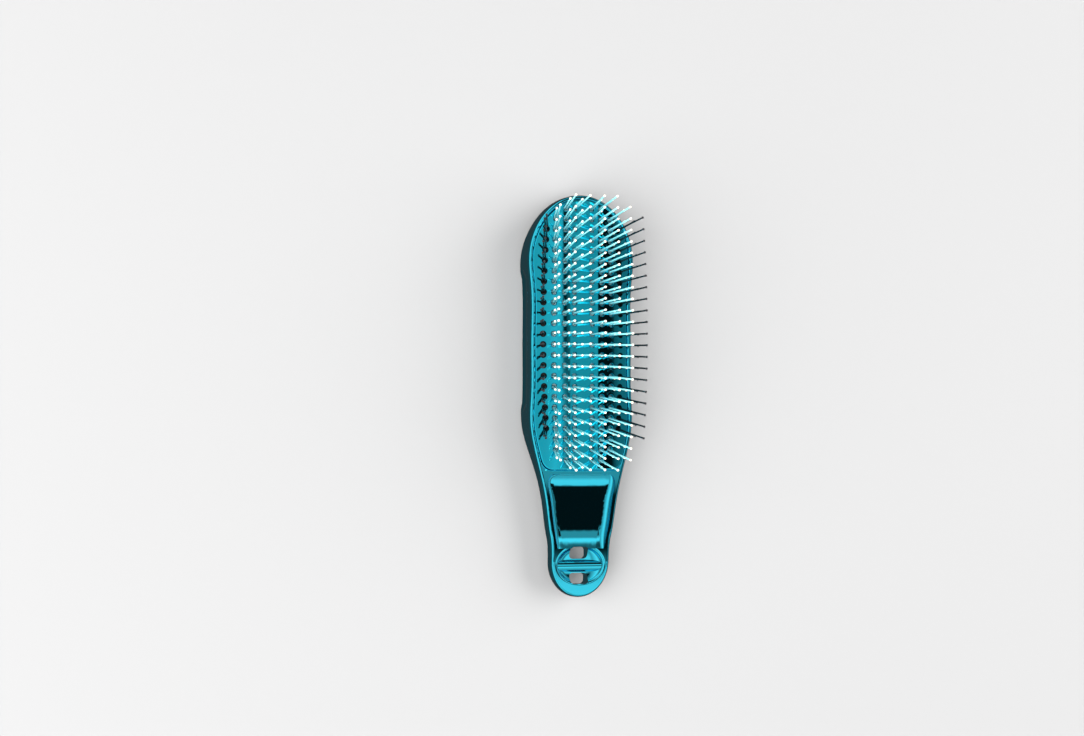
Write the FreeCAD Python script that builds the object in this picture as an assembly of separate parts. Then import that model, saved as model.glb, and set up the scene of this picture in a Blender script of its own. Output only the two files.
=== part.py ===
import FreeCAD, Part
import math
import os

from FreeCAD import Vector

# Scalp brush: a plated two-part body, a drilled face plate and eight rocking rows of ball-tipped pins.
# Frame: X across the brush, Y along it with the head end at +Y, Z out of the pin side. The brush lies on
# its back. The origin is on the flat rest face of the back, under the middle of the pin field. Millimetres.

# Body outline, seen from the pin side
head_end_y = 59.1
head_shoulder_y = 31.0
head_half_width = 23.8
handle_shoulder_y = -96.0
handle_end_y = -111.0
handle_half_width = 13.1
# Stations of each side between the shoulders: share of the way down, share of the width above the handle's
side_shares = (
    (0.040, 0.972), (0.085, 0.918), (0.268, 0.907), (0.450, 0.916), (0.528, 0.953),
    (0.614, 0.804), (0.701, 0.542), (0.795, 0.299), (0.898, 0.121),
)

# Body side profile
rim_z = 14.0
front_bend_y = -58.0
front_drop = 3.0
rest_head_y = 22.0
rest_handle_y = -30.0
head_back_rise = 6.0
handle_back_y = -66.0
handle_back_rise = 6.0
handle_back_drop = 2.0
back_edge_radius = 3.2
front_edge_radius = 1.3

# Shell walls and the seam between the shells
wall = 1.8
seam_depth = 4.5
tongue_inset = 1.0
tongue_width = 0.7
tongue_height = 1.1
seam_clearance = 0.1
shell_cavity_end_y = -86.0
rib_half_span = 45.0
rib_x = 4.5
rib_width = 1.2

# Finger scoop along each side of the back
scoop_head_y = 27.5
scoop_handle_y = -33.0
scoop_depth = 1.2
scoop_radius = 12.3
scoop_z = 4.2
scoop_lead = 4.0
scoop_lead_depth = 1.7

# Face plate
rim_width = 1.9
rim_inner_radius = 0.45
plate_gap = 0.15
plate_end_y = -57.2
plate_corner_radius = 5.0
plate_thickness = 1.4
plate_skirt = 0.85
plate_edge_radius = 0.5
ledge_z = 11.4
crown_z = 16.4
crown_flat_half_width = 5.75
crown_bend_radius = 10.0
crown_bend_deg = 6.0
crown_side_radius = 77.4

# Handle panel: places down its length and its depth and width there, as shares
panel_top_y = -59.0
panel_end_y = -90.5
panel_depth = 2.5
panel_border = 2.4
panel_fillet = 3.4
panel_shares = (
    (0.000, 0.10, 0.78), (0.035, 0.46, 0.90), (0.090, 0.76, 0.97), (0.170, 0.90, 1.00), (0.300, 0.97, 1.00),
    (0.480, 1.00, 1.00), (0.660, 1.00, 1.00), (0.800, 0.95, 1.00), (0.900, 0.76, 1.00), (1.000, 0.36, 0.96),
)

# Strap recess, its two openings and the bar between them
recess_y = -97.6
recess_half_width = 10.2
recess_half_length = 7.8
recess_depth = 3.6
recess_edge_radius = 1.5
strap_hole_width = 8.1
upper_hole_top_y = -89.8
upper_hole_length = 5.1
lower_hole_top_y = -100.8
lower_hole_length = 4.7
strap_hole_corner = 1.7
bar_radius = 2.5
bar_sunk = 0.8

# Pin field
row_count = 25
field_end_margin = 3.95
column_shares = (0.184, 0.391, 0.598, 0.805)
row_ranges = ((1, 25), (1, 25), (2, 24), (3, 22))
column_bow_shares = (0.008, 0.032, 0.045, 0.100)
hole_radius = 1.12
hole_chamfer = 0.25

# Pins: one long and one short pin stand side by side in each hole
pin_root_radius = 0.43
pin_tip_radius = 0.34
pin_ball_radius = 0.56
pin_pair_gap = 0.94
long_pin_lengths = (17.5, 17.0, 16.5, 17.2)
short_pin_length = 10.8
side_lean_deg = (-0.5, 7.0, 14.5, 21.5)
end_lean_deg = (13.5, 14.5, 17.5, 20.0)
short_lean_share = 1.2

# Runners, cushion and carrier behind the plate
rail_width = 2.4
rail_thickness = 2.0
rail_gap = 0.2
rail_end = 1.5
rail_side_gap = 0.3
socket_depth = 1.1
socket_clearance = 0.02
cushion_thickness = 0.8
carrier_gap = 0.05
carrier_thickness = 1.2
carrier_inset = 3.3

# Screws that hold the carrier to the bosses under the plate's middle lane
screw_shares = (-0.84, -0.28, 0.28, 0.84)
screw_radius = 0.8
screw_length = 4.2
screw_head_radius = 1.6
screw_head_height = 1.1
screw_slot_width = 0.5
screw_slot_depth = 0.5
screw_clearance = 0.03
boss_radius = 1.8
boss_clearance = 0.2

# How far a cutting shape runs past what it cuts, and how near two places are taken as one
overrun = 2.0
match = 0.05

front_bend_run = front_bend_y - handle_end_y
front_bend_radius = (front_bend_run ** 2 + front_drop ** 2) / (2 * front_drop)
back_bend_run = handle_back_y - handle_end_y
back_bend_radius = (back_bend_run ** 2 + handle_back_drop ** 2) / (2 * handle_back_drop)
plate_inset = rim_width + plate_gap
ledge_inset = plate_inset + plate_skirt
side_reach = head_half_width + overrun
field_head_y = head_end_y - plate_inset - field_end_margin
field_handle_y = plate_end_y + field_end_margin + plate_gap
field_middle_y = (field_head_y + field_handle_y) / 2
field_half_length = (field_head_y - field_handle_y) / 2
plate_half_width = head_half_width - plate_inset
rail_depth = plate_thickness + rail_gap
cushion_depth = rail_depth + rail_thickness + rail_gap
carrier_depth = cushion_depth + cushion_thickness + carrier_gap
carrier_base_depth = carrier_depth + carrier_thickness


def prism(edges, direction):
    """Closed solid from a planar loop of edges, extruded along a direction."""
    loop = Part.Wire(Part.__sortEdges__(edges))
    return Part.Face(loop).extrude(direction)


def line(start, end):
    """Straight edge between two points."""
    return Part.LineSegment(start, end).toShape()


def chain(points):
    """Straight edges through a list of points."""
    return [line(start, end) for start, end in zip(points, points[1:])]


def side_curve(inset):
    """Right side of the outline between the shoulders, moved inwards by an inset."""
    run = handle_shoulder_y - head_shoulder_y
    swell = head_half_width - handle_half_width
    stations = [Vector(head_half_width, head_shoulder_y, 0)]
    for along_share, width_share in side_shares:
        half_width = handle_half_width + swell * width_share
        stations.append(Vector(half_width, head_shoulder_y + run * along_share, 0))
    stations.append(Vector(handle_half_width, handle_shoulder_y, 0))
    down = Vector(0, -1, 0)
    outer = Part.BSplineCurve()
    outer.interpolate(Points=stations, InitialTangent=down, FinalTangent=down)
    moved = []
    for station in stations:
        tangent = outer.tangent(outer.parameter(station))[0]
        moved.append(station + Vector(tangent.y, -tangent.x, 0) * inset)
    curve = Part.BSplineCurve()
    curve.interpolate(Points=moved, InitialTangent=down, FinalTangent=down)
    return curve


def half_width_at(y, inset):
    """Half-width of the inset outline at a place between the shoulders."""
    cross = Part.LineSegment(Vector(0, y, 0), Vector(side_reach, y, 0))
    return side_curve(inset).intersect(cross)[0].X


def end_arc(shoulder_y, half_width, length):
    """Half-ellipse that closes one end of the outline; a negative length points down the handle."""
    middle = Vector(0, shoulder_y, 0)
    if abs(length) > half_width:
        tip = Vector(0, shoulder_y + length, 0)
        ellipse = Part.Ellipse(tip, Vector(half_width, shoulder_y, 0), middle)
    else:
        side = Vector(half_width, shoulder_y, 0)
        ellipse = Part.Ellipse(side, Vector(0, shoulder_y + length, 0), middle)
    ends = [ellipse.parameter(Vector(side * half_width, shoulder_y, 0)) for side in (1, -1)]
    arcs = [Part.ArcOfEllipse(ellipse, ends[0], ends[1]), Part.ArcOfEllipse(ellipse, ends[1], ends[0])]
    arcs.sort(key=lambda arc: arc.value((arc.FirstParameter + arc.LastParameter) / 2).y * length)
    return arcs[-1].toShape()


def outline_edges(inset):
    """Edges of the body's outline, moved inwards by an inset."""
    right = side_curve(inset).toShape()
    left = right.mirror(Vector(0, 0, 0), Vector(1, 0, 0))
    head = end_arc(head_shoulder_y, head_half_width - inset, head_end_y - head_shoulder_y - inset)
    tail = end_arc(handle_shoulder_y, handle_half_width - inset, handle_end_y - handle_shoulder_y + inset)
    return [head, right, tail, left]


def outline_prism(inset, low, high):
    """Upright prism on the inset outline."""
    body = prism(outline_edges(inset), Vector(0, 0, high - low))
    body.translate(Vector(0, 0, low))
    return body


def head_prism(inset, low, high):
    """Upright prism on the face plate's part of the outline, with rounded lower corners."""
    end_y = plate_end_y + inset - plate_inset
    block = Part.makeBox(2 * side_reach, head_end_y - end_y, high - low, Vector(-side_reach, end_y, low))
    body = outline_prism(inset, low, high).common(block)
    corners = []
    for edge in body.Edges:
        ends = [vertex.Point for vertex in edge.Vertexes]
        upright = len(ends) == 2 and abs(ends[0].z - ends[1].z) > (high - low) / 2
        if upright and all(abs(point.y - end_y) < match for point in ends):
            corners.append(edge)
    return body.makeFillet(plate_corner_radius + plate_inset - inset, corners)


def front_z(y):
    """Height of the front surface at a place along the brush."""
    if y >= front_bend_y:
        return rim_z
    return rim_z - front_bend_radius + math.sqrt(front_bend_radius ** 2 - (front_bend_y - y) ** 2)


def front_arc(depth):
    """Front surface's line on the handle, lowered by a depth, from the bend past the handle's end."""
    radius = front_bend_radius - depth
    centre = Vector(0, front_bend_y, rim_z - front_bend_radius)
    sweep = math.asin((front_bend_run + overrun) / radius)
    points = [centre + Vector(0, -math.sin(a), math.cos(a)) * radius for a in (0, sweep / 2, sweep)]
    return Part.Arc(*points).toShape(), points[-1]


def below_front(depth):
    """Everything lower than the front surface sunk by a depth."""
    arc, tail = front_arc(depth)
    head = Vector(0, head_end_y + overrun, rim_z - depth)
    bend = Vector(0, front_bend_y, rim_z - depth)
    floor = -overrun
    bounds = chain([tail, Vector(0, tail.y, floor), Vector(0, head.y, floor), head, bend])
    body = prism([arc] + bounds, Vector(2 * side_reach, 0, 0))
    body.translate(Vector(-side_reach, 0, 0))
    return body


def back_swell(start_y, end_y, rise, lift):
    """Two tangent arcs that carry the back from the rest face up to a rise, lifted by a wall."""
    run = end_y - start_y
    radius = (run ** 2 + rise ** 2) / (4 * rise)
    turn = math.atan2(run / 2, radius - rise / 2)
    hollow = Vector(0, start_y, radius)
    crest = Vector(0, end_y, rise - radius)
    inner = [hollow + Vector(0, math.sin(a), -math.cos(a)) * (radius - lift) for a in (0, turn / 2, turn)]
    outer = [crest + Vector(0, -math.sin(a), math.cos(a)) * (radius + lift) for a in (turn, turn / 2, 0)]
    return [Part.Arc(*inner).toShape(), Part.Arc(*outer).toShape()]


def above_back(lift):
    """Everything higher than the back surface lifted by a wall."""
    roof = rim_z + overrun
    centre = Vector(0, handle_back_y, handle_back_rise - back_bend_radius)
    radius = back_bend_radius + lift
    sweep = math.asin((back_bend_run + overrun) / radius)
    tail = [centre + Vector(0, -math.sin(a), math.cos(a)) * radius for a in (0, sweep / 2, sweep)]
    edges = back_swell(rest_head_y, head_end_y, head_back_rise, lift)
    edges += back_swell(rest_handle_y, handle_back_y, handle_back_rise, lift)
    edges.append(line(Vector(0, rest_head_y, lift), Vector(0, rest_handle_y, lift)))
    edges.append(Part.Arc(*tail).toShape())
    head = Vector(0, head_end_y, head_back_rise + lift)
    edges += chain([
        tail[-1], Vector(0, tail[-1].y, roof), Vector(0, head_end_y + overrun, roof),
        Vector(0, head_end_y + overrun, head.z), head,
    ])
    body = prism(edges, Vector(2 * side_reach, 0, 0))
    body.translate(Vector(-side_reach, 0, 0))
    return body


def body_form():
    """Outer form of the closed body, with its back and front edges rounded."""
    block = outline_prism(0, -overrun, rim_z + overrun)
    body = block.common(above_back(0)).common(below_front(0)).removeSplitter()
    front_edges = []
    back_edges = []
    for edge in body.Edges:
        middle = edge.valueAt((edge.FirstParameter + edge.LastParameter) / 2)
        ends = [vertex.Point for vertex in edge.Vertexes]
        upright = abs(ends[0].x - ends[-1].x) + abs(ends[0].y - ends[-1].y) < match
        across = abs(middle.x) < match and abs(ends[0].y - ends[-1].y) < match
        if upright or across:
            continue
        if abs(middle.z - front_z(middle.y)) < match:
            front_edges.append(edge)
        else:
            back_edges.append(edge)
    return body.makeFillet(back_edge_radius, back_edges).makeFillet(front_edge_radius, front_edges)


def seam_ring(inset, width, depth):
    """Ring that follows the outline, from the seam up to a depth under the front surface."""
    outer = outline_prism(inset, 0, rim_z)
    ring = outer.cut(outline_prism(inset + width, 0, rim_z))
    return ring.common(below_front(depth)).cut(below_front(seam_depth))


def strap_hole(top_y, length):
    """Upright round-cornered prism through the whole handle."""
    low = -overrun
    corner = Vector(-strap_hole_width / 2, top_y - length, low)
    block = Part.makeBox(strap_hole_width, length, rim_z + 2 * overrun, corner)
    upright = [edge for edge in block.Edges if abs(edge.Vertexes[0].Z - edge.Vertexes[1].Z) > length]
    return block.makeFillet(strap_hole_corner, upright)


def finger_scoop(side):
    """Spindle with tapered ends that hollows one side of the back."""
    core = scoop_radius - scoop_lead_depth
    points = [
        Vector(0, scoop_head_y, 0), Vector(core, scoop_head_y, 0),
        Vector(scoop_radius, scoop_head_y - scoop_lead, 0),
        Vector(scoop_radius, scoop_handle_y + scoop_lead, 0),
        Vector(core, scoop_handle_y, 0), Vector(0, scoop_handle_y, 0), Vector(0, scoop_head_y, 0),
    ]
    spindle = Part.Face(Part.Wire(chain(points))).revolve(Vector(0, 0, 0), Vector(0, 1, 0), 360)
    waist = half_width_at((scoop_head_y + scoop_handle_y) / 2, 0)
    spindle.translate(Vector(side * (waist + scoop_radius - scoop_depth), 0, scoop_z))
    return spindle


def panel_section(y, depth_share, width_share):
    """Cross-section of the handle panel's hollow at a place along the handle."""
    top = front_z(y)
    depth = panel_depth * depth_share
    half = half_width_at(y, panel_border) * width_share
    flat = half - panel_fillet
    roof = top + overrun

    def round_side(side):
        centre = Vector(side * flat, y, top)
        edge_point = Vector(side * half, y, top)
        floor_point = Vector(side * flat, y, top - depth)
        ellipse = Part.Ellipse(edge_point, floor_point, centre)
        ends = sorted([ellipse.parameter(edge_point), ellipse.parameter(floor_point)])
        return Part.ArcOfEllipse(ellipse, ends[0], ends[1]).toShape()

    bottom = line(Vector(-flat, y, top - depth), Vector(flat, y, top - depth))
    cover = chain([
        Vector(half, y, top), Vector(half, y, roof), Vector(-half, y, roof), Vector(-half, y, top),
    ])
    return Part.Wire(Part.__sortEdges__([bottom, round_side(1)] + cover + [round_side(-1)]))


def handle_panel():
    """Hollow of the handle panel, dished along its length."""
    sections = []
    for along_share, depth_share, width_share in panel_shares:
        y = panel_top_y + (panel_end_y - panel_top_y) * along_share
        sections.append(panel_section(y, depth_share, width_share))
    return Part.makeLoft(sections, True, False)


def strap_recess():
    """Dish round the strap bar: a flattened ball sunk into the handle's front."""
    ball = Part.makeSphere(1)
    stretch = FreeCAD.Matrix()
    stretch.scale(recess_half_width, recess_half_length, recess_depth)
    dish = ball.transformGeometry(stretch)
    dish.translate(Vector(0, recess_y, front_z(recess_y)))
    return dish


def strap_bar():
    """Round bar between the two strap openings, carried by the sides of the recess."""
    y = (upper_hole_top_y - upper_hole_length + lower_hole_top_y) / 2
    z = front_z(y) - bar_sunk - bar_radius
    half_length = recess_half_width + recess_edge_radius
    bar = Part.makeCylinder(bar_radius, 2 * half_length, Vector(-half_length, y, z), Vector(1, 0, 0))
    return bar.cut(below_front(seam_depth))


def strap_holes():
    """Both openings beside the strap bar."""
    upper = strap_hole(upper_hole_top_y, upper_hole_length)
    lower = strap_hole(lower_hole_top_y, lower_hole_length)
    return [upper, lower]


def round_rim(shell):
    """Round the rim's inner edge, round the face plate's opening."""
    inside = head_prism(rim_width - match, 0, crown_z)
    rim = []
    for edge in shell.Edges:
        middle = edge.valueAt((edge.FirstParameter + edge.LastParameter) / 2)
        flat = edge.BoundBox.ZMin > rim_z - match
        if flat and abs(middle.z - rim_z) < match and inside.isInside(middle, match / 2, True):
            rim.append(edge)
    return shell.makeFillet(rim_inner_radius, rim)


def round_recess(shell):
    """Round the strap recess's edge where it meets the handle's front."""
    edge_ring = []
    for edge in shell.Edges:
        middle = edge.valueAt((edge.FirstParameter + edge.LastParameter) / 2)
        beside = abs(middle.x) < recess_half_width + match
        along = abs(middle.y - recess_y) < recess_half_length + recess_edge_radius
        if beside and along and abs(middle.z - front_z(middle.y)) < match:
            edge_ring.append(edge)
    return shell.makeFillet(recess_edge_radius, edge_ring)


def front_shell(body):
    """Rim round the face plate and the handle's front, in one moulding."""
    shell = body.cut(below_front(seam_depth))
    groove_inset = tongue_inset - seam_clearance
    groove_width = tongue_width + 2 * seam_clearance
    groove = seam_ring(groove_inset, groove_width, seam_depth - tongue_height - seam_clearance)
    opening = head_prism(rim_width, ledge_z, crown_z)
    well = head_prism(ledge_inset, 0, crown_z)
    shell = round_rim(shell.cut([groove, opening, well]))
    shell = round_recess(shell.cut(strap_recess())).cut(handle_panel())
    return shell.fuse(strap_bar()).cut(strap_holes())


def back_shell(body):
    """Deep back with its rest face, side scoops, seam tongue and the ribs that carry the inner sheet."""
    shell = body.common(below_front(seam_depth))
    cavity = outline_prism(wall + scoop_depth, 0, rim_z).common(above_back(wall))
    cavity_length = head_end_y - shell_cavity_end_y
    room = Part.makeBox(
        2 * side_reach, cavity_length, rim_z, Vector(-side_reach, shell_cavity_end_y, 0))
    shell = shell.cut(cavity.common(room))
    rib_top = crown_z - carrier_base_depth
    ribs = []
    for side in (-1, 1):
        corner = Vector(side * rib_x - rib_width / 2, field_middle_y - rib_half_span, 0)
        ribs.append(Part.makeBox(rib_width, 2 * rib_half_span, rib_top, corner).common(above_back(wall / 2)))
    tongue = seam_ring(tongue_inset, tongue_width, seam_depth - tongue_height)
    shell = shell.fuse(ribs + [tongue])
    return shell.cut([finger_scoop(-1), finger_scoop(1)] + strap_holes()).removeSplitter()


def crown_bend_end():
    """Where the flat middle's bend runs into the crown's sides: place across, drop and slope."""
    turn = math.radians(crown_bend_deg)
    place = crown_flat_half_width + crown_bend_radius * math.sin(turn)
    return place, crown_bend_radius * (1 - math.cos(turn)), turn


def below_crown(depth):
    """Everything lower than the face plate's crowned surface, sunk square to itself by a depth."""
    bend_x, bend_drop, turn = crown_bend_end()
    bend_centre = Vector(crown_flat_half_width, 0, crown_z - crown_bend_radius)
    radius = crown_side_radius - depth
    away = Vector(math.sin(turn), 0, math.cos(turn))
    side_centre = Vector(bend_x, 0, crown_z - bend_drop) - away * crown_side_radius

    def on_bend(angle):
        return bend_centre + Vector(math.sin(angle), 0, math.cos(angle)) * (crown_bend_radius - depth)

    def on_side(x):
        return Vector(x, 0, side_centre.z + math.sqrt(radius ** 2 - (x - side_centre.x) ** 2))

    flat_end = on_bend(0)
    joint = on_bend(turn)
    edge_point = on_side(side_reach)
    bend = Part.Arc(flat_end, on_bend(turn / 2), joint).toShape()
    flank = Part.Arc(joint, on_side((joint.x + side_reach) / 2), edge_point).toShape()
    right = [bend, flank]
    left = [edge.mirror(Vector(0, 0, 0), Vector(1, 0, 0)) for edge in right]
    flat = line(Vector(-flat_end.x, 0, flat_end.z), flat_end)
    bounds = chain([
        edge_point, Vector(side_reach, 0, 0), Vector(-side_reach, 0, 0), Vector(-side_reach, 0, edge_point.z),
    ])
    body = prism([flat] + right + left + bounds, Vector(0, head_end_y - handle_end_y, 0))
    body.translate(Vector(0, handle_end_y, 0))
    return body


def crown_point(x):
    """Point and slope, in radians, of the face plate's surface at a place across it (x from the middle)."""
    bend_x, bend_drop, turn = crown_bend_end()
    if x <= crown_flat_half_width:
        return Vector(x, 0, crown_z), 0
    if x <= bend_x:
        slope = math.asin((x - crown_flat_half_width) / crown_bend_radius)
        return Vector(x, 0, crown_z - crown_bend_radius * (1 - math.cos(slope))), slope
    slope = math.asin(math.sin(turn) + (x - bend_x) / crown_side_radius)
    drop = bend_drop + crown_side_radius * (math.cos(turn) - math.cos(slope))
    return Vector(x, 0, crown_z - drop), slope


def column_x(column, y):
    """Place of a column of holes across the plate, from the middle out; outer columns bow like the sides."""
    along = (y - field_middle_y) / field_half_length
    straight = plate_half_width * column_shares[column]
    return straight - plate_half_width * column_bow_shares[column] * along ** 2


def row_y(row):
    """Place along the brush of a row of holes, counted from 1 at the head end."""
    return field_head_y - 2 * field_half_length * (row - 1) / (row_count - 1)


class PinColumn:
    """One lengthwise row of tufts: its holes, its runner and its pins."""

    def __init__(self, column, side):
        self.column = column
        self.side = side
        first, last = row_ranges[column]
        self.rows = [row_y(row) for row in range(first, last + 1)]
        self.middle_y = (self.rows[0] + self.rows[-1]) / 2
        seat_x = (column_x(column, self.middle_y) + column_x(column, self.rows[0])) / 2
        self.seat, self.slope = crown_point(seat_x)
        self.normal = Vector(side * math.sin(self.slope), 0, math.cos(self.slope))
        self.across = Vector(math.cos(self.slope), 0, -side * math.sin(self.slope))
        self.seat.x = side * self.seat.x

    def surface_point(self, y, depth):
        """Point under the plate's surface on this column, at a place along the brush."""
        shift = self.side * column_x(self.column, y) - self.seat.x
        return self.seat + self.across * (shift / self.across.x) - self.normal * depth + Vector(0, y, 0)

    def lean(self, y, share):
        """Direction of a pin: it fans out to the sides and to both ends of the field."""
        along = math.radians(end_lean_deg[self.column] * share * (y - field_middle_y) / field_half_length)
        sideways = math.radians(side_lean_deg[self.column])
        direction = Vector(self.side * math.tan(sideways), math.tan(along), 1)
        return direction.normalize()

    def pin_feet(self, y):
        """The long pin's and the short pin's place, direction and length at one hole."""
        middle = self.surface_point(y, plate_thickness / 2)
        step = self.across * (self.side * pin_pair_gap / 2)
        long_foot = (middle - step, self.lean(y, 1), long_pin_lengths[self.column])
        short_foot = (middle + step, self.lean(y, short_lean_share), short_pin_length)
        return long_foot, short_foot

    def root(self, place, direction):
        """Where a pin's root stands in its socket, on its own line."""
        depth = plate_thickness / 2 + rail_gap + socket_depth
        return place - direction * (depth / direction.dot(self.normal))

    def pin(self, foot):
        """One ball-tipped tapered pin, from its socket's floor to its tip."""
        place, direction, length = foot
        root = self.root(place, direction)
        surface = place + direction * (plate_thickness / 2 / direction.dot(self.normal))
        height = (surface - root).Length + length
        ball_z = height - pin_ball_radius
        neck_z = ball_z - math.sqrt(pin_ball_radius ** 2 - pin_tip_radius ** 2)
        neck = Vector(pin_tip_radius, 0, neck_z)
        tip = Vector(0, 0, height)
        edges = chain([tip, Vector(0, 0, 0), Vector(pin_root_radius, 0, 0), neck])
        edges.append(Part.Arc(neck, Vector(pin_ball_radius, 0, ball_z), tip).toShape())
        shape = Part.Face(Part.Wire(Part.__sortEdges__(edges))).revolve(Vector(0, 0, 0), Vector(0, 0, 1), 360)
        shape = Part.Solid(shape) if shape.ShapeType == "Shell" else shape
        shape.Placement = FreeCAD.Placement(root, FreeCAD.Rotation(Vector(0, 0, 1), direction))
        return shape

    def socket(self, foot):
        """Hole in the runner for one pin, with a flat floor under its root."""
        place, direction, _ = foot
        root = self.root(place, direction)
        radius = pin_root_radius + socket_clearance
        return Part.makeCylinder(radius, rail_thickness + overrun, root, direction)

    def hole_cutters(self):
        """Straight hole for each tuft, square to the plate."""
        reach = plate_thickness + 2 * hole_chamfer
        cutters = []
        for y in self.rows:
            foot = self.surface_point(y, reach)
            cutters.append(Part.makeCylinder(hole_radius, reach + overrun, foot, self.normal))
        return cutters

    def rail(self):
        """Runner that holds the column's pins, bowed with the holes and laid along the plate's slope."""
        half = rail_width / 2
        tops = [self.rows[0] + rail_end, self.middle_y, self.rows[-1] - rail_end]
        lines = []
        for edge_side in (-1, 1):
            points = [self.surface_point(y, rail_depth) + self.across * (edge_side * half) for y in tops]
            lines.append(points)
        edges = [Part.Arc(*points).toShape() for points in lines]
        edges += [line(lines[0][0], lines[1][0]), line(lines[0][-1], lines[1][-1])]
        rail = prism(edges, self.normal * -rail_thickness)
        rail = rail.common(head_prism(ledge_inset + rail_side_gap, 0, crown_z))
        sockets = [self.socket(foot) for y in self.rows for foot in self.pin_feet(y)]
        return rail.cut(sockets)

    def pins(self, kind):
        """All long pins (kind 0) or all short pins (kind 1) of the column."""
        return Part.makeCompound([self.pin(self.pin_feet(y)[kind]) for y in self.rows])

    def hinge_point(self):
        """A point on the line that the runner rocks about."""
        return self.seat - self.normal * (rail_depth + rail_thickness / 2)


def screw_places():
    """Places along the middle lane where the screws stand."""
    return [field_middle_y + field_half_length * share for share in screw_shares]


def inner_sheet(depth, thickness, hole):
    """Sheet under the runners that follows the plate's crown, with a hole at each screw."""
    sheet = head_prism(carrier_inset, 0, crown_z).common(below_crown(depth))
    sheet = sheet.cut(below_crown(depth + thickness))
    holes = [Part.makeCylinder(hole, crown_z, Vector(0, y, 0)) for y in screw_places()]
    return sheet.cut(holes)


def chamfer_mouths(plate):
    """Chamfer the mouth of each tuft's hole."""
    mouths = []
    for face in plate.Faces:
        if isinstance(face.Surface, Part.Cylinder) and abs(face.Surface.Radius - hole_radius) < match:
            for edge in face.Edges:
                middle = edge.valueAt((edge.FirstParameter + edge.LastParameter) / 2)
                if crown_point(abs(middle.x))[0].z - middle.z < match:
                    mouths.append(edge)
    return plate.makeChamfer(hole_chamfer, mouths)


def face_plate(columns):
    """Crowned plate with its skirt, its screw bosses and a chamfered hole for each tuft."""
    outer = head_prism(plate_inset, ledge_z, crown_z + overrun).common(below_crown(0)).removeSplitter()
    rim = []
    for edge in outer.Edges:
        middle = edge.valueAt((edge.FirstParameter + edge.LastParameter) / 2)
        ends = [vertex.Point for vertex in edge.Vertexes]
        upright = abs(ends[0].x - ends[-1].x) + abs(ends[0].y - ends[-1].y) < match
        straight = isinstance(edge.Curve, Part.Line)
        lengthwise = straight and abs(ends[0].x - ends[-1].x) < match
        if middle.z > ledge_z + match and not upright and not lengthwise:
            rim.append(edge)
    outer = outer.makeFillet(plate_edge_radius, rim)
    inner = head_prism(ledge_inset, 0, crown_z).common(below_crown(plate_thickness))
    plate = outer.cut(inner)
    boss_end = crown_z - carrier_depth
    bosses = []
    pilots = []
    for y in screw_places():
        foot = Vector(0, y, boss_end)
        bosses.append(Part.makeCylinder(boss_radius, crown_z - plate_thickness / 2 - boss_end, foot))
        depth = screw_length - carrier_thickness + screw_clearance
        pilots.append(Part.makeCylinder(screw_radius + screw_clearance, depth, foot))
    plate = plate.fuse(bosses).cut(pilots)
    return chamfer_mouths(plate.cut([cutter for column in columns for cutter in column.hole_cutters()]))


def carrier_screws():
    """Slotted screws, head down under the carrier."""
    screws = []
    head_z = crown_z - carrier_base_depth
    for y in screw_places():
        head_foot = Vector(0, y, head_z - screw_head_height)
        head = Part.makeCylinder(screw_head_radius, screw_head_height, head_foot)
        shank = Part.makeCylinder(screw_radius, screw_length, Vector(0, y, head_z))
        slot_corner = Vector(-screw_head_radius, y - screw_slot_width / 2, head_z - screw_head_height)
        slot = Part.makeBox(2 * screw_head_radius, screw_slot_width, screw_slot_depth, slot_corner)
        screws.append(head.fuse(shank).cut(slot))
    return Part.makeCompound(screws)


def export(name, shape):
    """Write one node's solids, after a check that they are sound."""
    if not shape.isValid() or not shape.Solids:
        raise ValueError(name + " is not a sound solid")
    print(name, len(shape.Solids), "solids", round(shape.Volume, 1), "mm3")
    Part.makeCompound(shape.Solids).exportStep(os.path.join("parts", name + ".step"))


def main():
    """Build every node of the brush."""
    os.makedirs("parts", exist_ok=True)
    columns = [PinColumn(column, -1) for column in (3, 2, 1, 0)]
    columns += [PinColumn(column, 1) for column in (0, 1, 2, 3)]
    body = body_form()
    export("front_shell", front_shell(body))
    export("back_shell", back_shell(body))
    export("face_plate", face_plate(columns))
    export("cushion_sheet", inner_sheet(cushion_depth, cushion_thickness, boss_radius + boss_clearance))
    export("rail_carrier", inner_sheet(carrier_depth, carrier_thickness, screw_radius + screw_clearance))
    export("carrier_screws", carrier_screws())
    for number, column in enumerate(columns, 1):
        export(f"pin_rail_{number}", column.rail())
        export(f"long_pins_{number}", column.pins(0))
        export(f"short_pins_{number}", column.pins(1))
        hinge = column.hinge_point()
        print(f"row {number} rocks about Y through", round(hinge.x, 4), round(hinge.z, 4))


main()
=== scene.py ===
"""Scalp brush: finishes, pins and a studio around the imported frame.

The CAD frame is in metres: X across the brush, Y along it with the head at +Y, Z out of the pin side.
Sizes here are written in millimetres and turned to metres where a mesh is made.
"""

import logging
import math
from dataclasses import dataclass, field
from enum import Enum
from typing import Any, Dict, List, Optional, Sequence, Tuple, Union

import bmesh
import bpy
from mathutils import Matrix, Vector


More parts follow.
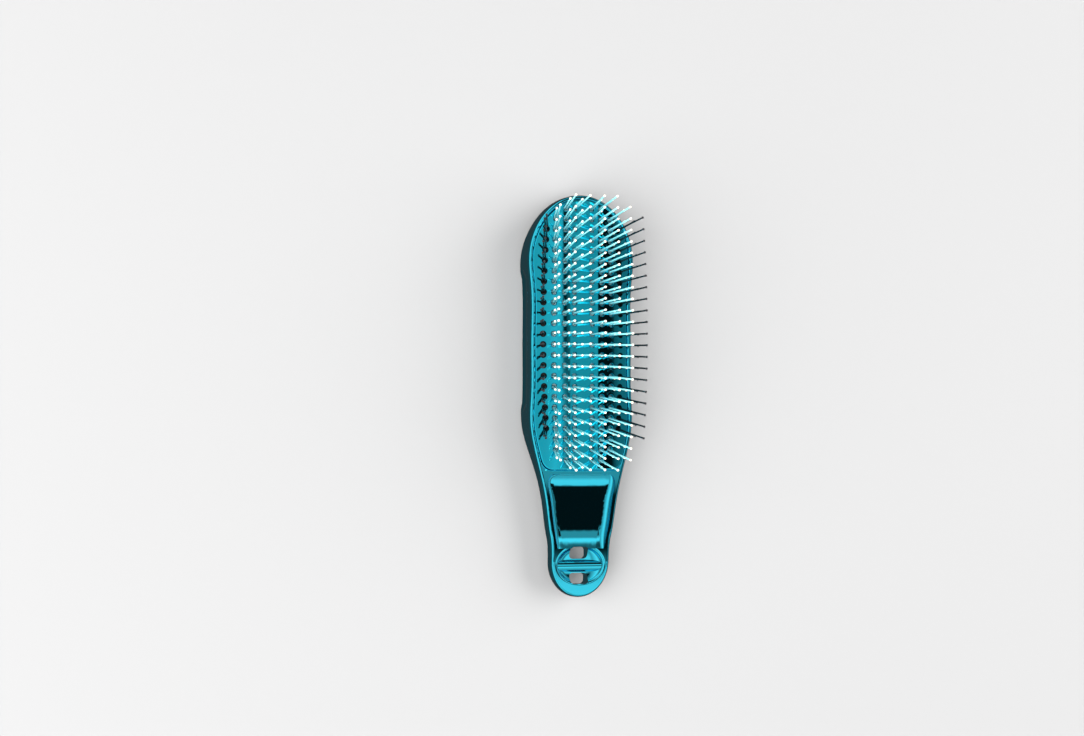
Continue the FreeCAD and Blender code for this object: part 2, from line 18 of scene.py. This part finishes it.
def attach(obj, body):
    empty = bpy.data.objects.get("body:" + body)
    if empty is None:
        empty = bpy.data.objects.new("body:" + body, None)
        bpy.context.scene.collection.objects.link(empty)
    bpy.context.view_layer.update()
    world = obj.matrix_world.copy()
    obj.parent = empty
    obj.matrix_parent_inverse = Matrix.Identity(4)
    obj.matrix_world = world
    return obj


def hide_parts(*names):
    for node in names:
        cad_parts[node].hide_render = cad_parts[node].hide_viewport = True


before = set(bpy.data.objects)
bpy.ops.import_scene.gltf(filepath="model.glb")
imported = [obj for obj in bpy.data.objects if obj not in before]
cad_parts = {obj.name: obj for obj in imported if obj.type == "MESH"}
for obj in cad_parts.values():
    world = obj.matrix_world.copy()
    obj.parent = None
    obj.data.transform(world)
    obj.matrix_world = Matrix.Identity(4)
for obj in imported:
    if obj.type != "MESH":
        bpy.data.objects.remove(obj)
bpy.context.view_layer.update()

LOG = logging.getLogger("scalp_brush")
MM = 0.001
HALF_TURN_DEG = 180
QUARTER_TURN_DEG = 90
# Sockets of the Mix node by number, because they share their names
MIX_FACTOR = 0
MIX_VALUE_A, MIX_VALUE_B = 2, 3
MIX_COLOUR_A, MIX_COLOUR_B, MIX_COLOUR_RESULT = 6, 7, 2
# Noise with little fine detail, so that patches and waves stay soft
SOFT_NOISE = {"Detail": 1.0, "Roughness": 0.4}


def linear(hex_colour: str) -> Tuple[float, float, float, float]:
    """Turns an sRGB hex colour to linear RGBA.

    Args:
        hex_colour: six hex digits after a hash sign.

    Returns:
        Linear red, green, blue and an alpha of 1.
    """
    channels = [int(hex_colour[i:i + 2], 16) / 255 for i in (1, 3, 5)]
    red, green, blue = [c / 12.92 if c <= 0.04045 else ((c + 0.055) / 1.055) ** 2.4 for c in channels]
    return red, green, blue, 1.0


def add_node(
    tree: bpy.types.NodeTree,
    kind: str,
    settings: Optional[Dict[Union[str, int], Any]] = None,
    links: Optional[Dict[Union[str, int], bpy.types.NodeSocket]] = None,
) -> bpy.types.Node:
    """Adds one node with its settings and its incoming links.

    Args:
        tree: node tree that gets the node.
        kind: Blender's type name of the node.
        settings: values by socket name or number, or by the node's own property name.
        links: output sockets by the name or number of the socket that they feed.

    Returns:
        The new node.
    """
    node = tree.nodes.new(kind)
    for key, value in (settings or {}).items():
        if isinstance(key, int) or key in node.inputs:
            node.inputs[key].default_value = value
        else:
            setattr(node, key, value)
    for key, source in (links or {}).items():
        tree.links.new(source, node.inputs[key])
    return node


class Tint(Enum):
    """Resin tints of the pin rows."""

    CLEAR = "clear"
    SMOKE = "smoke"


@dataclass(frozen=True)
class Finish:
    """One surface finish.

    Sockets hold the shader's constant values. Ripples are shallow waves or grain, by their width and
    height. A shade drifts through the colour in patches of the width given.
    """

    name: str
    colour: str
    sockets: Dict[str, float] = field(default_factory=dict)
    ripple_mm: float = 0.0
    ripple_height_mm: float = 0.0
    shade: Optional[str] = None
    patch_mm: float = 0.0

    def material(self) -> bpy.types.Material:
        """Makes the finish's material, or gives the one made before.

        Returns:
            The Blender material of this finish.
        """
        made = bpy.data.materials.get(self.name)
        if made is not None:
            return made
        made = bpy.data.materials.new(self.name)
        made.use_nodes = True
        tree = made.node_tree
        tree.nodes.clear()
        shader = add_node(
            tree, "ShaderNodeBsdfPrincipled", {"Base Color": linear(self.colour), **self.sockets})
        add_node(tree, "ShaderNodeOutputMaterial", links={"Surface": shader.outputs[0]})
        place = add_node(tree, "ShaderNodeTexCoord").outputs["Object"]
        if self.shade:
            patches = add_node(
                tree, "ShaderNodeTexNoise",
                {"Scale": 1 / (self.patch_mm * MM), **SOFT_NOISE}, {"Vector": place})
            drift = add_node(
                tree, "ShaderNodeMix",
                {"data_type": "RGBA",
                 MIX_COLOUR_A: linear(self.colour), MIX_COLOUR_B: linear(self.shade)},
                {MIX_FACTOR: patches.outputs[0]})
            tree.links.new(drift.outputs[MIX_COLOUR_RESULT], shader.inputs["Base Color"])
        if self.ripple_mm:
            waves = add_node(
                tree, "ShaderNodeTexNoise",
                {"Scale": 1 / (self.ripple_mm * MM), **SOFT_NOISE}, {"Vector": place})
            bump = add_node(
                tree, "ShaderNodeBump",
                {"Strength": 1.0, "Distance": self.ripple_height_mm * MM},
                {"Height": waves.outputs[0]})
            tree.links.new(bump.outputs[0], shader.inputs["Normal"])
        return made

    def dress(self, piece: bpy.types.Object) -> None:
        """Gives a piece this finish alone.

        Args:
            piece: a CAD node's object or a piece of the scene.
        """
        if not piece.material_slots:
            piece.data.materials.append(None)
        for slot in piece.material_slots:
            slot.material = self.material()


# Metallised ABS: aluminium vapour on a polished moulding under a clear teal lacquer. It mirrors like
# coloured chrome, with a faint second gloss from the lacquer and slow ripples from the moulding's ribs.
# The thin face plate ripples more closely, from the shrinkage between its holes.
PLATED_BODY = Finish(
    "metallised_abs_teal_lacquer", "#2AD0EA",
    {"Metallic": 1.0, "Roughness": 0.035, "Coat Weight": 0.5, "Coat Roughness": 0.02},
    ripple_mm=24.0, ripple_height_mm=0.012, shade="#24C9E4", patch_mm=30.0)
PLATED_FACE = Finish(
    "metallised_abs_teal_face", "#12CDE8",
    {"Metallic": 1.0, "Roughness": 0.03, "Coat Weight": 0.35, "Coat Roughness": 0.02},
    ripple_mm=9.0, ripple_height_mm=0.012, shade="#0FC7E2", patch_mm=30.0)
# Natural nylon, injection moulded: milky and light with a soft gloss, tinted by a trace of blue-green
# dye that lies a little thicker in some places than in others.
CLEAR_NYLON = Finish(
    "moulded_nylon_pale_aqua", "#A8F8FC",
    {"Roughness": 0.18, "IOR": 1.53}, shade="#98EEF4", patch_mm=4.0)
# The same resin in the runners under the plate, its colour painted greyer than the pins' as painted shade
# down in the plate's holes.
RUNNER_NYLON_PAINTED_SHADE = Finish(
    "moulded_nylon_aqua_painted_shade", "#7FA3A8", {"Roughness": 0.3, "IOR": 1.53}, shade="#6E9298", patch_mm=5.0)
# Smoked nylon: the same resin with carbon black, opaque and glossy.
SMOKE_NYLON = Finish(
    "moulded_nylon_smoke", "#101011", {"Roughness": 0.22, "IOR": 1.53}, shade="#18181A", patch_mm=4.0)
# Dipped resin beads: opaque, satin, cream on the clear pins and near black on the smoked ones, with a
# skin that dries a little unevenly.
CREAM_BEAD = Finish(
    "dipped_resin_cream", "#CCC6B6", {"Roughness": 0.3, "IOR": 1.5}, shade="#BFB9AA", patch_mm=0.8)
SMOKE_BEAD = Finish(
    "dipped_resin_smoke", "#161618", {"Roughness": 0.3, "IOR": 1.5}, shade="#1E1E20", patch_mm=0.8)
# Thermoplastic elastomer sheet: matt charcoal with a fine leathery grain, and no mirror image.
ELASTOMER = Finish(
    "moulded_elastomer_charcoal", "#16191B", {"Roughness": 0.7, "IOR": 1.48},
    ripple_mm=0.6, ripple_height_mm=0.02, shade="#1D2022", patch_mm=5.0)
# Unplated ABS inside the body: dull dark grey, with the fine pitting of a spark-eroded mould.
INNER_ABS = Finish(
    "moulded_abs_dark", "#1C2226", {"Roughness": 0.5, "IOR": 1.53},
    ripple_mm=0.4, ripple_height_mm=0.015, shade="#22282C", patch_mm=6.0)
# Zinc-plated steel screws: pale bluish metal with a soft gloss and the faint spangle of the plating.
ZINC_STEEL = Finish(
    "zinc_plated_steel", "#B9BEC4", {"Metallic": 1.0, "Roughness": 0.28},
    ripple_mm=0.3, ripple_height_mm=0.004, shade="#A7AEB6", patch_mm=0.9)
# Painted board under the brush: matt and even, so that nothing but the brush's shadow shows on it.
PAINTED_FLOOR = Finish("painted_floor_pale", "#797979", {"Roughness": 0.9})


@dataclass
class PlatedBody:
    """Shells, face plate and the parts inside, which keep their CAD solids."""

    shell_nodes: Sequence[str] = ("front_shell", "back_shell")
    face_node: str = "face_plate"
    cushion_node: str = "cushion_sheet"
    carrier_node: str = "rail_carrier"
    screw_node: str = "carrier_screws"

    def dress(self) -> None:
        """Gives each CAD node of the body its finish."""
        for name in self.shell_nodes:
            PLATED_BODY.dress(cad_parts[name])
        PLATED_FACE.dress(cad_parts[self.face_node])
        ELASTOMER.dress(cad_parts[self.cushion_node])
        INNER_ABS.dress(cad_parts[self.carrier_node])
        ZINC_STEEL.dress(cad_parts[self.screw_node])


@dataclass
class FaceCrown:
    """Crowned surface of the face plate, from which the pins stand, in millimetres."""

    crown_z: float = 16.4
    half_width: float = 21.75
    flat_half_width: float = 5.75
    bend_radius: float = 10.0
    bend_deg: float = 6.0
    side_radius: float = 77.4
    thickness: float = 1.4

    def place(self, x: float) -> Tuple[float, float]:
        """Height and slope of the surface at a place across it.

        Args:
            x: place from the middle lane outwards.

        Returns:
            Height, and slope in radians.
        """
        turn = math.radians(self.bend_deg)
        bend_x = self.flat_half_width + self.bend_radius * math.sin(turn)
        if x <= self.flat_half_width:
            return self.crown_z, 0.0
        if x <= bend_x:
            slope = math.asin((x - self.flat_half_width) / self.bend_radius)
            return self.crown_z - self.bend_radius * (1 - math.cos(slope)), slope
        slope = math.asin(math.sin(turn) + (x - bend_x) / self.side_radius)
        bend_drop = self.bend_radius * (1 - math.cos(turn))
        side_drop = self.side_radius * (math.cos(turn) - math.cos(slope))
        return self.crown_z - (bend_drop + side_drop), slope


@dataclass
class PinShape:
    """One ball-tipped pin, in millimetres.

    It is drawn with few faces, because it is repeated hundreds of times. The inset is a hair's breadth
    that keeps the drawn pin inside its solid.
    """

    root_radius: float = 0.43
    neck_radius: float = 0.34
    ball_radius: float = 0.56
    inset: float = 0.005
    sides: int = 8
    ball_turns_deg: Sequence[float] = (-22.5, 22.5, 60.0)

    def neck_place(self, height: float) -> float:
        """Place along a pin of this height where the shaft meets the ball."""
        ball, neck = self.ball_radius - self.inset, self.neck_radius - self.inset
        return height - self.ball_radius - math.sqrt(ball ** 2 - neck ** 2)

    def profile(self, height: float) -> List[Tuple[float, float]]:
        """Half-section of the pin.

        Args:
            height: length from root to tip.

        Returns:
            Radius and place along the pin, from the root's middle to the tip.
        """
        radii = (self.root_radius, self.neck_radius, self.ball_radius)
        root, neck, ball = [radius - self.inset for radius in radii]
        ball_z = height - self.ball_radius
        points = [(0.0, 0.0), (root, 0.0), (neck, self.neck_place(height))]
        for turn in self.ball_turns_deg:
            angle = math.radians(turn)
            points.append((ball * math.cos(angle), ball_z + ball * math.sin(angle)))
        points.append((0.0, ball_z + ball))
        return points

    def add(self, mesh: bmesh.types.BMesh, root: Vector, direction: Vector, height: float) -> None:
        """Turns one pin about its own line.

        Args:
            mesh: bmesh of the pin row.
            root: middle of the pin's root.
            direction: unit vector along the pin.
            height: length from root to tip.
        """
        outwards = direction.orthogonal().normalized()
        verts = [
            mesh.verts.new((root + direction * z + outwards * r) * MM) for r, z in self.profile(height)]
        edges = [mesh.edges.new(pair) for pair in zip(verts, verts[1:])]
        before = set(mesh.faces)
        bmesh.ops.spin(
            mesh, geom=verts + edges, cent=root * MM, axis=direction, angle=math.tau,
            steps=self.sides, use_merge=True)
        neck_z = self.neck_place(height)
        for face in mesh.faces:
            if face not in before:
                along = (face.calc_center_median() / MM - root).dot(direction)
                face.material_index = int(along > neck_z)


@dataclass
class PinRow:
    """One rocking row of tufts: a long and a short pin in each hole, in millimetres."""

    number: int
    column: int
    side: int
    tint: Tint
    crown: FaceCrown
    shape: PinShape
    row_count: int = 25
    field_half_length: float = 53.1
    column_shares: Sequence[float] = (0.184, 0.391, 0.598, 0.805)
    bow_shares: Sequence[float] = (0.008, 0.032, 0.045, 0.100)
    row_ranges: Sequence[Tuple[int, int]] = ((1, 25), (1, 25), (2, 24), (3, 22))
    long_lengths: Sequence[float] = (17.5, 17.0, 16.5, 17.2)
    short_length: float = 10.8
    side_lean_deg: Sequence[float] = (-0.5, 7.0, 14.5, 21.5)
    end_lean_deg: Sequence[float] = (13.5, 14.5, 17.5, 20.0)
    short_lean_share: float = 1.2
    pair_gap: float = 0.94
    rail_gap: float = 0.2
    socket_depth: float = 1.1
    merge_gap: float = 0.001

    def across_place(self, y: float) -> float:
        """Place of the row across the plate, bowed like the body's sides."""
        bow = self.bow_shares[self.column] * (y / self.field_half_length) ** 2
        return self.crown.half_width * (self.column_shares[self.column] - bow)

    def hole_places(self) -> List[float]:
        """Places of the row's holes along the brush, from the head end.

        Returns:
            Place of each hole along Y.
        """
        first, last = self.row_ranges[self.column]
        pitch = 2 * self.field_half_length / (self.row_count - 1)
        return [self.field_half_length - pitch * (row - 1) for row in range(first, last + 1)]

    def lean(self, y: float, share: float) -> Vector:
        """Direction of a pin, fanned to the sides and to both ends.

        Args:
            y: place along the brush.
            share: share of the end lean that the pin takes.

        Returns:
            Unit vector from root to tip.
        """
        along = math.radians(self.end_lean_deg[self.column] * share * y / self.field_half_length)
        sideways = math.radians(self.side_lean_deg[self.column])
        return Vector((self.side * math.tan(sideways), math.tan(along), 1)).normalized()

    def pins(self) -> List[Tuple[Vector, Vector, float]]:
        """Works out where the row's pins stand: two in each hole, rooted in the runner behind the plate.

        Returns:
            Root, direction and length of each pin, long and short by turns.
        """
        places = self.hole_places()
        middle_y = (places[0] + places[-1]) / 2
        seat_x = (self.across_place(middle_y) + self.across_place(places[0])) / 2
        seat_z, slope = self.crown.place(seat_x)
        normal = Vector((self.side * math.sin(slope), 0, math.cos(slope)))
        across = Vector((math.cos(slope), 0, -self.side * math.sin(slope)))
        seat = Vector((self.side * seat_x, 0, seat_z))
        half_plate = self.crown.thickness / 2
        root_depth = half_plate + self.rail_gap + self.socket_depth
        pins = []
        for y in places:
            shift = (self.side * self.across_place(y) - seat.x) / across.x
            middle = seat + across * shift - normal * half_plate + Vector((0, y, 0))
            step = across * (self.side * self.pair_gap / 2)
            feet = (
                (middle - step, self.lean(y, 1.0), self.long_lengths[self.column]),
                (middle + step, self.lean(y, self.short_lean_share), self.short_length),
            )
            for foot, direction, length in feet:
                rise = direction.dot(normal)
                root = foot - direction * (root_depth / rise)
                pins.append((root, direction, length + (root_depth + half_plate) / rise))
        return pins

    def build(self) -> bpy.types.Object:
        """Makes the row's pins, rides them on their body and hides the CAD pins that they stand for.

        Returns:
            The finished piece.
        """
        mesh = bmesh.new()
        for root, direction, height in self.pins():
            self.shape.add(mesh, root, direction, height)
        bmesh.ops.remove_doubles(mesh, verts=mesh.verts, dist=self.merge_gap * MM)
        bmesh.ops.recalc_face_normals(mesh, faces=mesh.faces)
        for face in mesh.faces:
            face.smooth = True
        data = bpy.data.meshes.new(f"pins_{self.number}")
        mesh.to_mesh(data)
        mesh.free()
        piece = bpy.data.objects.new(f"pins_{self.number}", data)
        bpy.context.scene.collection.objects.link(piece)
        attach(piece, f"pin_row_{self.number}")
        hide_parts(f"long_pins_{self.number}", f"short_pins_{self.number}")
        return piece

    def dress(self, piece: bpy.types.Object) -> None:
        """Gives the shafts, the beads and the runner their finishes.

        Args:
            piece: the row's pins.
        """
        clear = self.tint is Tint.CLEAR
        piece.data.materials.append((CLEAR_NYLON if clear else SMOKE_NYLON).material())
        piece.data.materials.append((CREAM_BEAD if clear else SMOKE_BEAD).material())
        # The clear rows' runners take the nylon with grey painted in as the shade inside the plate's
        # holes.
        (RUNNER_NYLON_PAINTED_SHADE if clear else SMOKE_NYLON).dress(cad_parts[f"pin_rail_{self.number}"])


@dataclass
class PinField:
    """All the rows of pins, numbered from the brush's left.

    Columns count outwards from the middle lane on both sides, and the outermost is smoked.
    """

    column_count: int = 4
    smoke_column: int = 3
    crown: FaceCrown = field(default_factory=FaceCrown)
    shape: PinShape = field(default_factory=PinShape)

    def build(self) -> List[bpy.types.Object]:
        """Builds and dresses every row.

        Returns:
            The rows' pieces, in order.
        """
        outwards = range(self.column_count)
        columns = [(column, -1) for column in reversed(outwards)] + [(column, 1) for column in outwards]
        pieces = []
        for number, (column, side) in enumerate(columns, 1):
            tint = Tint.SMOKE if column == self.smoke_column else Tint.CLEAR
            row = PinRow(number, column, side, tint, self.crown, self.shape)
            piece = row.build()
            row.dress(piece)
            pieces.append(piece)
        return pieces


@dataclass
class Studio:
    """Pale floor, wrapped soft light and the camera."""

    # Floor: half its width in metres, and how far it lies under the brush
    floor_half_size: float = 8.0
    floor_drop_mm: float = 0.2
    # World light: level of the backdrop behind the floor, and strength of the surroundings
    backdrop_level: float = 1.59
    surround_strength: float = 0.56
    # Camera: the brush's point at middle_mm lies at middle_px in a frame of frame_px. It stands back from
    # there by a distance in metres.
    frame_px: Tuple[int, int] = (1084, 736)
    px_per_mm: float = 2.361
    middle_px: Tuple[float, float] = (580.0, 396.0)
    middle_mm: Tuple[float, float, float] = (0.0, -26.0, 12.0)
    camera_distance: float = 1.2
    camera_back: Tuple[float, float, float] = (-0.340, -0.035, 0.940)
    # Soft lamps: width in metres, then name, place in metres and power in watts
    lamp_size: float = 2.0
    lamps: Sequence[Tuple[str, Tuple[float, float, float], float]] = (
        ("left_lamp", (-1.4, -0.3, 0.95), 125.0), ("right_lamp", (1.4, 0.2, 0.95), 100.0),
        ("top_lamp", (-0.5, -0.2, 2.0), 30.0))
    # Light level of the surroundings by the angle from overhead towards +X, in degrees
    side_levels: Sequence[Tuple[float, float]] = (
        (-180, 0.1), (-128, 0.12), (-120, 0.5), (-112, 0.06), (-92, 0.05), (-80, 0.35), (-66, 0.9),
        (-44, 2.2), (-26, 1.6), (-13, 0.95), (-6, 1.0), (0, 1.25), (5, 1.0), (8, 0.25), (15, 0.25),
        (17.5, 0.74), (27, 0.76), (31, 0.015), (43, 0.015), (47, 0.34), (58, 0.40), (66, 0.42),
        (80, 1.4), (92, 0.1), (180, 0.1),
    )
    # A narrow flag beside the middle lane: the light it lets by, and its share by the angle towards +Y
    flag_levels: Sequence[Tuple[float, float]] = (
        (-180, 1), (4.2, 1), (4.6, 0.01), (7.0, 0.01), (7.4, 1), (180, 1))
    flag_share_y: Sequence[Tuple[float, float]] = ((-90, 0), (1.2, 0), (2.6, 1), (90, 1))
    # Light level by the angle towards +Y, in degrees, where the handle end's panels take over
    end_levels: Sequence[Tuple[float, float]] = (
        (-90, 0.9), (-50, 1.1), (-30, 1.9), (-13, 1.8), (-9.5, 0.015), (-2.6, 0.015), (-1.4, 0.6),
        (7, 0.62), (9, 0.9), (13, 2.1), (18, 2.1), (25, 0.35), (30, 0.03), (45, 0.03), (60, 0.6),
        (90, 0.8),
    )
    # How far the handle end's panels take over, by the angle towards +Y and towards +X
    end_share_y: Sequence[Tuple[float, float]] = (
        (-90, 1), (-1.4, 1), (-0.8, 0), (7.0, 0), (7.6, 1), (90, 1))
    end_share_x: Sequence[Tuple[float, float]] = (
        (-180, 0), (-12, 0), (-4, 1), (56, 1), (64, 0), (180, 0))

    def floor(self) -> bpy.types.Object:
        """Makes the floor just under the brush's rest face.

        Returns:
            The floor's object.
        """
        mesh = bmesh.new()
        bmesh.ops.create_grid(mesh, x_segments=1, y_segments=1, size=self.floor_half_size)
        bmesh.ops.translate(mesh, verts=mesh.verts, vec=(0, 0, -self.floor_drop_mm * MM))
        data = bpy.data.meshes.new("studio_floor")
        mesh.to_mesh(data)
        mesh.free()
        floor = bpy.data.objects.new("studio_floor", data)
        bpy.context.scene.collection.objects.link(floor)
        PAINTED_FLOOR.dress(floor)
        floor.visible_glossy = False
        return floor

    def ramp(
        self, tree: bpy.types.NodeTree, angle: bpy.types.NodeSocket, span: float,
        stops: Sequence[Tuple[float, float]],
    ) -> bpy.types.NodeSocket:
        """Turns an angle to a grey level by a table of stops.

        Args:
            tree: the world's nodes.
            angle: angle in radians.
            span: largest angle either way, in degrees.
            stops: angle in degrees and grey level.

        Returns:
            The level's socket.
        """
        share = add_node(
            tree, "ShaderNodeMapRange",
            {"From Min": -math.radians(span), "From Max": math.radians(span)}, {"Value": angle})
        node = add_node(tree, "ShaderNodeValToRGB", links={0: share.outputs[0]})
        elements = node.color_ramp.elements
        while len(elements) < len(stops):
            elements.new(1.0)
        for element, (degrees, level) in zip(elements, stops):
            element.position = (degrees + span) / (2 * span)
            element.color = (level, level, level, 1)
        return node.outputs[0]

    def light(self) -> None:
        """Wraps the brush in soft light: bright sides, a mid overhead and dark flags between them."""
        world = bpy.data.worlds.new("studio_light")
        bpy.context.scene.world = world
        world.use_nodes = True
        tree = world.node_tree
        tree.nodes.clear()
        place = add_node(tree, "ShaderNodeTexCoord")
        split = add_node(tree, "ShaderNodeSeparateXYZ", links={0: place.outputs["Generated"]})
        x, y, z = split.outputs
        around = add_node(tree, "ShaderNodeMath", {"operation": "ARCTAN2"}, {0: x, 1: z}).outputs[0]
        along = add_node(tree, "ShaderNodeMath", {"operation": "ARCSINE"}, {0: y}).outputs[0]
        sides, flag, share_x = [
            self.ramp(tree, around, HALF_TURN_DEG, stops)
            for stops in (self.side_levels, self.flag_levels, self.end_share_x)]
        ends, flag_share, share_y = [
            self.ramp(tree, along, QUARTER_TURN_DEG, stops)
            for stops in (self.end_levels, self.flag_share_y, self.end_share_y)]
        passed = add_node(
            tree, "ShaderNodeMix", {"data_type": "FLOAT", MIX_VALUE_A: 1.0},
            {MIX_FACTOR: flag_share, MIX_VALUE_B: flag})
        flagged = add_node(
            tree, "ShaderNodeMath", {"operation": "MULTIPLY"}, {0: sides, 1: passed.outputs[0]})
        share = add_node(tree, "ShaderNodeMath", {"operation": "MULTIPLY"}, {0: share_x, 1: share_y})
        level = add_node(
            tree, "ShaderNodeMix", {"data_type": "FLOAT"},
            {MIX_FACTOR: share.outputs[0], MIX_VALUE_A: flagged.outputs[0], MIX_VALUE_B: ends})
        path = add_node(tree, "ShaderNodeLightPath")
        shown = add_node(
            tree, "ShaderNodeMix", {"data_type": "FLOAT", MIX_VALUE_B: self.backdrop_level},
            {MIX_FACTOR: path.outputs["Is Camera Ray"], MIX_VALUE_A: level.outputs[0]})
        sky = add_node(
            tree, "ShaderNodeBackground",
            {"Strength": self.surround_strength}, {"Color": shown.outputs[0]})
        add_node(tree, "ShaderNodeOutputWorld", links={"Surface": sky.outputs[0]})

    def lamp(self, name: str, place: Tuple[float, float, float], power: float) -> bpy.types.Object:
        """Hangs one large soft lamp that lights the pins but leaves no image in the plating.

        Args:
            name: the lamp's name.
            place: the lamp's middle in metres; it faces the brush.
            power: power in watts.

        Returns:
            The lamp's object.
        """
        data = bpy.data.lights.new(name, "AREA")
        data.shape = "DISK"
        data.size = self.lamp_size
        data.energy = power
        lamp = bpy.data.objects.new(name, data)
        lamp.location = place
        lamp.rotation_euler = Vector(place).to_track_quat("Z", "Y").to_euler()
        lamp.visible_glossy = False
        bpy.context.scene.collection.objects.link(lamp)
        return lamp

    def camera(self) -> bpy.types.Object:
        """Sets the camera at the photograph's angle, with the brush at its place in the frame.

        Returns:
            The camera's object.
        """
        back = Vector(self.camera_back).normalized()
        right = Vector((0, 1, 0)).cross(back).normalized()
        up = back.cross(right)
        off_x = (self.middle_px[0] - self.frame_px[0] / 2) / self.px_per_mm
        off_y = (self.frame_px[1] / 2 - self.middle_px[1]) / self.px_per_mm
        target = (Vector(self.middle_mm) - right * off_x - up * off_y) * MM
        lens = bpy.data.cameras.new("studio_camera")
        half_view = self.frame_px[0] / 2 / self.px_per_mm * MM
        lens.lens = lens.sensor_width / 2 * self.camera_distance / half_view
        camera = bpy.data.objects.new("studio_camera", lens)
        turn = Matrix((right, up, back)).transposed().to_4x4()
        camera.matrix_world = Matrix.Translation(target + back * self.camera_distance) @ turn
        bpy.context.scene.collection.objects.link(camera)
        bpy.context.scene.camera = camera
        return camera

    def build(self) -> None:
        """Sets up the floor, the light, the camera and plain colour handling."""
        self.floor()
        self.light()
        for name, place, power in self.lamps:
            self.lamp(name, place, power)
        self.camera()
        bpy.context.scene.view_settings.view_transform = "Standard"


def main() -> None:
    """Builds and dresses the brush piece by piece, then the studio."""
    logging.basicConfig(level=logging.INFO)
    PlatedBody().dress()
    LOG.info("dressed the body's CAD nodes")
    for piece in PinField().build():
        LOG.info("built %s with %d faces", piece.name, len(piece.data.polygons))
    Studio().build()
    LOG.info("set up the studio")


if __name__ == "__main__":
    main()
